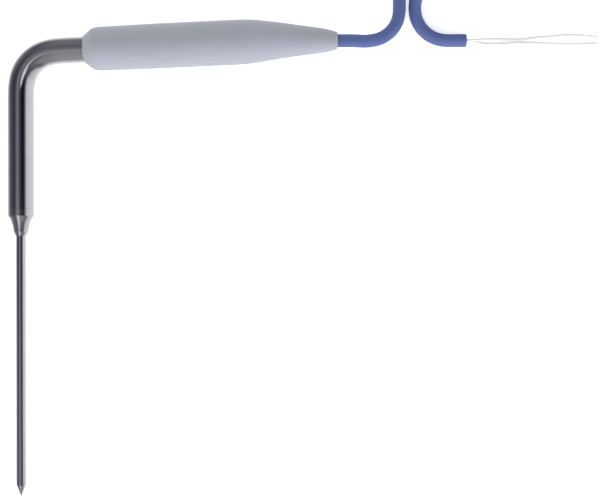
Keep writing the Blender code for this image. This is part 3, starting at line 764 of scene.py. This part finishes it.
# -------------------------------------------------------------------- leads
UPPER = [(0.3, 0.0, 2.48), (3.0, 0.15, 2.0), (6.0, 0.5, 1.1), (9.5, 0.66, 0.5),
         (13.0, 0.62, 0.4), (17.0, 0.62, 0.4), (21.5, 1.15, 0.4), (26.0, 1.5, 0.4),
         (30.0, 1.85, 0.4), (33.5, 2.0, 0.4), (37.0, 1.85, 0.4), (41.3, 1.35, 0.4)]
LOWER = [(0.3, 0.0, 1.5), (3.0, -0.3, 1.1), (6.0, -0.7, 0.55), (9.5, -0.78, 0.4),
         (13.0, -0.7, 0.4), (17.0, -0.45, 0.4), (21.5, -0.5, 0.4), (26.0, -0.62, 0.4),
         (30.0, -0.82, 0.4), (33.5, -0.86, 0.4), (37.0, -0.75, 0.4), (41.3, -0.62, 0.4)]
for name, node, rows in (("lead_upper_wire", "lead_upper", UPPER),
                         ("lead_lower_wire", "lead_lower", LOWER)):
    inside = [(-1.3, 0.0, rows[0][2] - 0.02), (-0.5, 0.0, rows[0][2])]
    line = smooth_curve([Vector((far_x + x, far_y + y, z)) for x, y, z in inside + rows], 0.35)
    for p in line:
        p.z = max(p.z, LEAD_R + 0.001)
    places = cord_frames(line)
    angles = sides(20)
    run = [0.0]
    for p, q in zip(line, line[1:]):
        run.append(run[-1] + (q - p).length)
    loops = [section(place, LEAD_R - (0.03 if i == len(places) - 1 else 0.0), angles)
             for i, place in enumerate(places)]
    c, e1, e2 = places[-1]
    d = (line[-1] - line[-2]).normalized()
    loops.insert(-1, section((c - d * 0.04, e1, e2), LEAD_R, angles))
    run.insert(-1, run[-1] - 0.04)
    for r, depth in ((0.23, 0.0), (0.21, 0.03), (0.20, -0.02)):
        loops.append(section((c - d * depth, e1, e2), r, angles))
        run.append(run[-1] + 0.1)
    edge = len(loops) - 3
    ob = skin(name, loops, run, [2.0 * math.pi * LEAD_R * k / 20 for k in range(21)],
              [LEAD, TINNED], mat_of=lambda i, edge=edge: 1 if i >= edge else 0)
    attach(ob, "root")
    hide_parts(node)

# --------------------------------------------------------------------- ties
def strap_path(deg):
    """Centres (r, z) and directions of a strap pulled tight round the coil's turns."""
    first_turn = ((180.0 - deg) / 360.0) % 1.0
    held = []
    k = first_turn
    while k <= TURNS:
        p = coil_point(k)
        held.append((math.hypot(p.x - COIL_X, p.y - COIL_Y), p.z))
        k += 1.0
    path, was = [], None
    for step in range(0, 361, 3):
        b = math.radians(step)
        pick = max(held, key=lambda c: c[0] * math.cos(b) + c[1] * math.sin(b))
        if was is not None and pick != was:
            path.append((was, b))
        if step < 360:
            path.append((pick, b))
        was = pick
    return path


def tie(name, node, deg):
    t = math.radians(deg)
    out = Vector((math.cos(t), math.sin(t), 0.0))
    side = Vector((-math.sin(t), math.cos(t), 0.0))
    origin = Vector((COIL_X, COIL_Y, 0.0))
    path = strap_path(deg)
    thick, wide = 0.30, 3.0
    near_r, far_r = CABLE_R + 0.03, CABLE_R + 0.03 + thick
    profile = [(near_r, -0.5), (far_r - 0.1, -0.5), (far_r, -0.46), (far_r, -0.30),
               (far_r - 0.06, -0.26), (far_r - 0.06, 0.26), (far_r, 0.30), (far_r, 0.46),
               (far_r - 0.1, 0.5), (near_r, 0.5)]
    loops, run = [], [0.0]
    for (r, z), b in path:
        n = out * math.cos(b) + Z * math.sin(b)
        loops.append([origin + out * r + Z * z + n * depth + side * (wide * w)
                      for depth, w in profile])
        if len(loops) > 1:
            run.append(run[-1] + (loops[-1][0] - loops[-2][0]).length)
    strap = skin(name, loops, run, [0.4 * k for k in range(len(profile) + 1)], [TIE],
                 closed=True, sharp=25.0)

    # the head sits on the upper layer, with the cut stub of the strap in its slot
    top = max(z for (r, z), b in path) + far_r
    bm = bmesh.new()
    bm.from_mesh(strap.data)

    def block(centre, size, radius, steps=3):
        made = bmesh.ops.create_cube(bm, size=1.0)["verts"]
        for v in made:
            x, y, z = (v.co[i] * size[i] for i in range(3))
            q = centre + out * x + side * y + Z * z
            v.co = q * MM
        edges = {e for v in made for e in v.link_edges}
        bmesh.ops.bevel(bm, geom=list(edges), offset=radius * MM, segments=steps,
                        affect="EDGES", profile=0.6)

    seat = origin + out * (0.5 * (COIL_IN_R + COIL_OUT_R)) + Z * top
    block(seat + Z * 1.05 + out * 1.7, (1.1, 4.4, 2.3), 0.35)
    block(seat + Z * 1.05 - out * 1.7, (1.1, 4.4, 2.3), 0.35)
    block(seat + Z * 1.05 + side * 1.85, (3.6, 0.8, 2.3), 0.3)
    block(seat + Z * 1.05 - side * 1.85, (3.6, 0.8, 2.3), 0.3)
    block(seat + Z * 0.9 + out * 0.35, (1.6, 3.2, 1.7), 0.2)
    block(seat + Z * 1.5 - out * 0.62, (0.5, 2.7, 2.4), 0.12)
    bm.to_mesh(strap.data)
    bm.free()
    strap.data.shade_smooth()
    strap.data.set_sharp_from_angle(angle=math.radians(25.0))
    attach(strap, "root")
    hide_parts(node)
    return strap


ties = [tie("tie_strap_a", "cable_tie_a", 150.0), tie("tie_strap_b", "cable_tie_b", 330.0)]

# -------------------------------------------------------------------- floor
mesh = bpy.data.meshes.new("floor")
rim = [(1.6 * math.cos(2 * math.pi * k / 64), 1.6 * math.sin(2 * math.pi * k / 64), -0.00002)
       for k in range(64)]
mesh.from_pydata(rim, [], [tuple(range(64))])
floor = bpy.data.objects.new("floor", mesh)
scene.collection.objects.link(floor)

FLOOR, tree, sh = new_material("floor_paper")
paper = noise(tree, object_coords(tree, 0.02), 3.0)
tree.links.new(span(tree, paper, 0.3, 0.7, 0.90, 0.93), sh.inputs["Base Color"])
sh.inputs["Roughness"].default_value = 0.9
sh.inputs["Specular IOR Level"].default_value = 0.0
sh.inputs["Emission Color"].default_value = (1.0, 1.0, 1.0, 1.0)
sh.inputs["Emission Strength"].default_value = 0.42
mesh.materials.append(FLOOR)
floor.visible_glossy = False

# -------------------------------------------------------------------- light
# A white studio: soft light from all round for the mat surfaces, and for the
# polished ones a tent of bright and dark cloths that runs along Y.
world = bpy.data.worlds.new("studio")
scene.world = world
world.use_nodes = True
world.cycles.sampling_method = "NONE"
tree = world.node_tree
links = tree.links
background = tree.nodes["Background"]
coords = tree.nodes.new("ShaderNodeTexCoord")
split = tree.nodes.new("ShaderNodeSeparateXYZ")
links.new(coords.outputs["Generated"], split.inputs[0])
dx, dy, dz = split.outputs[0], split.outputs[1], split.outputs[2]


def op(kind, *values, clamp=False):
    return math_node(tree, kind, *values, clamp=clamp)


def square(v):
    return op("MULTIPLY", v, v)


low_sky = op("SUBTRACT", 1.0, op("MAXIMUM", dz, 0.0))
key = op("MULTIPLY", square(op("MAXIMUM", op("MULTIPLY", dy, -1.0), 0.0)), 3.007)
fill = op("MULTIPLY", square(op("MAXIMUM", dy, 0.0)), 0.962)
soft = op("ADD", op("ADD", op("MULTIPLY", square(low_sky), 2.059), 0.372), fill)


def tinted(value, tint):
    n = tree.nodes.new("ShaderNodeVectorMath")
    n.operation = "SCALE"
    n.inputs[0].default_value = tint
    links.new(value, n.inputs["Scale"])
    return n.outputs[0]


def vector_op(kind, *values):
    n = tree.nodes.new("ShaderNodeVectorMath")
    n.operation = kind
    for i, v in enumerate(values):
        if isinstance(v, tuple):
            n.inputs[i].default_value = v
        else:
            links.new(v, n.inputs[i])
    return n.outputs["Value"] if kind in ("DOT_PRODUCT", "LENGTH") else n.outputs[0]


mat_light = vector_op("ADD", tinted(soft, (1.0, 1.0, 1.0)), tinted(key, (1.0, 0.985, 1.05)))

def soft_step(value, start, end):
    n = tree.nodes.new("ShaderNodeMapRange")
    n.interpolation_type = "SMOOTHSTEP"
    links.new(value, n.inputs["Value"])
    n.inputs["From Min"].default_value = start
    n.inputs["From Max"].default_value = end
    return n.outputs["Result"]


def bell(value, centre, width):
    off = op("DIVIDE", op("SUBTRACT", value, centre), width)
    return op("EXPONENT", op("MULTIPLY", op("MULTIPLY", off, off), -0.5))


# The cloths hang along Y, so what a polished piece shows goes by how far over
# to the left or right it looks, in degrees from straight up.
CLOTHS = [(-180, .22), (-100, .18), (-86, .14), (-74, .115), (-62, .07), (-48, .05),
          (-36, .075), (-12, .09), (4, .07), (16, .02), (32, .0), (41, .02), (50, .17),
          (58, .58), (70, .88), (95, .93), (180, 1.0)]
polar = op("MULTIPLY", op("ARCCOSINE", op("MINIMUM", op("MAXIMUM", dz, -1.0), 1.0)), 180.0 / math.pi)
flat_run = op("SQRT", op("MAXIMUM", op("ADD", square(dx), square(dy)), 1e-6))
tilt = op("MULTIPLY", polar, op("DIVIDE", dx, flat_run))
ramp = tree.nodes.new("ShaderNodeValToRGB")
ramp.color_ramp.interpolation = "LINEAR"
stops = ramp.color_ramp.elements
stops[0].position, stops[1].position = 0.0, 1.0
for deg, _ in CLOTHS[1:-1]:
    stops.new((deg + 180.0) / 360.0)
for stop, (deg, level) in zip(sorted(stops, key=lambda e: e.position), CLOTHS):
    stop.color = (level,) * 3 + (1.0,)
links.new(op("DIVIDE", op("ADD", tilt, 180.0), 360.0), ramp.inputs[0])
toward = op("MULTIPLY", dy, -1.0)
strip = op("MULTIPLY", bell(tilt, -16.0, 8.5),
           op("ADD", op("SUBTRACT", 0.16, op("MULTIPLY", soft_step(dy, 0.1, 0.4), 0.09)),
              op("MULTIPLY", bell(dy, -0.2, 0.12), 0.10)))
overhead = op("SUBTRACT", 1.0, soft_step(op("ABSOLUTE", tilt), 20.0, 45.0))
ends = op("ADD", op("MULTIPLY", op("MAXIMUM", toward, 0.0), 0.12),
          op("MULTIPLY", soft_step(dy, 0.3, 1.0), 0.08))
near_end = op("MULTIPLY", soft_step(toward, 0.03, 0.25), 0.08)
front = op("MULTIPLY", op("MULTIPLY", soft_step(toward, 0.35, 0.8), 0.14), bell(tilt, 22.0, 14.0))
back = op("MULTIPLY", op("MULTIPLY", soft_step(dy, 0.2, 0.6), 0.10),
          op("SUBTRACT", 1.0, soft_step(tilt, -60.0, -25.0)))
cloth = op("ADD", op("ADD", ramp.outputs[0], strip), op("MULTIPLY", overhead, ends))
cloth = op("ADD", op("ADD", cloth, near_end), op("ADD", front, back))
shade = op("MULTIPLY", soft_step(toward, 0.08, 0.35), soft_step(tilt, 40.0, 60.0))
cloth = op("SUBTRACT", cloth, op("MULTIPLY", shade, 0.22))
below = soft_step(op("ADD", op("MULTIPLY", dz, -1.0), op("MULTIPLY", dy, 0.12)), 0.0, 0.85)
table = op("SUBTRACT", 1.12, op("MULTIPLY", op("MAXIMUM", dx, 0.0), 0.15))
mixed = op("ADD", cloth, op("MULTIPLY", below, op("SUBTRACT", table, cloth)))
shine = vector_op("ADD", tinted(mixed, (1.0, 0.995, 1.0)), (0.0, 0.0, 0.022))

path = tree.nodes.new("ShaderNodeLightPath")


def choose(fac, a, b):
    n = tree.nodes.new("ShaderNodeMix")
    n.data_type = "RGBA"
    links.new(fac, n.inputs["Factor"])
    for v, socket in ((a, n.inputs[6]), (b, n.inputs[7])):
        if isinstance(v, tuple):
            socket.default_value = v
        else:
            links.new(v, socket)
    return n.outputs[2]


seen = choose(path.outputs["Is Glossy Ray"], mat_light, shine)
seen = choose(path.outputs["Is Camera Ray"], seen, (1.0, 1.0, 1.0, 1.0))
links.new(seen, background.inputs["Color"])
background.inputs["Strength"].default_value = 1.0


def glint(name, at, facing, along, size, level, receivers, shape="ELLIPSE"):
    """A lamp that only shows in the polish of some pieces.

    at is its middle and size its length one way (along) and the other, in mm, and
    level is how bright it looks. It shines only to the side that it faces.
    """
    data = bpy.data.lights.new(name, "AREA")
    data.shape = shape
    data.size, data.size_y = size[0] * MM, size[1] * MM
    filled = math.pi * 0.25 if shape == "ELLIPSE" else 1.0
    data.energy = level * math.pi * filled * data.size * data.size_y
    data.color = (0.94, 0.955, 1.0)
    lamp = bpy.data.objects.new(name, data)
    back = -Vector(facing).normalized()
    first = Vector(along)
    first = (first - back * first.dot(back)).normalized()
    second = back.cross(first)
    lamp.rotation_euler = Matrix((first, second, back)).transposed().to_euler()
    lamp.location = Vector(at) * MM
    scene.collection.objects.link(lamp)
    lamp.visible_camera = False
    lamp.visible_diffuse = False
    lit = bpy.data.collections.new(name + "_lit")
    for ob in receivers:
        lit.objects.link(ob)
    lamp.light_linking.receiver_collection = lit
    return lamp


# two small panels standing above the bend: their plane crosses the tube where the
# bend begins and ends, so neither the leg nor the arm sees them
for name, spot, size, level in (
        ("bend_lamp_low", (-42.5, 55.5, 30.5), (4.2, 31.0), 0.88),
        ("bend_lamp_high", (-40.5, 58.2, 72.0), (7.5, 50.0), 1.0)):
    glint(name, spot, (-0.8034, 0.5955, 0.0), (0.5955, 0.8034, -0.06), size, level, [tube],
          "RECTANGLE")
# a strip above the leg, for the hollow of the cone
cone_at = Vector((-46.5, 11.0, 8.0))
cone_way = Vector((-0.19, -0.75, 0.63)).normalized()
glint("cone_lamp", cone_at + cone_way * 1000.0, -cone_way, (-0.19, -0.75, 0.0),
      (1400.0, 340.0), 0.6, [reducer, point])
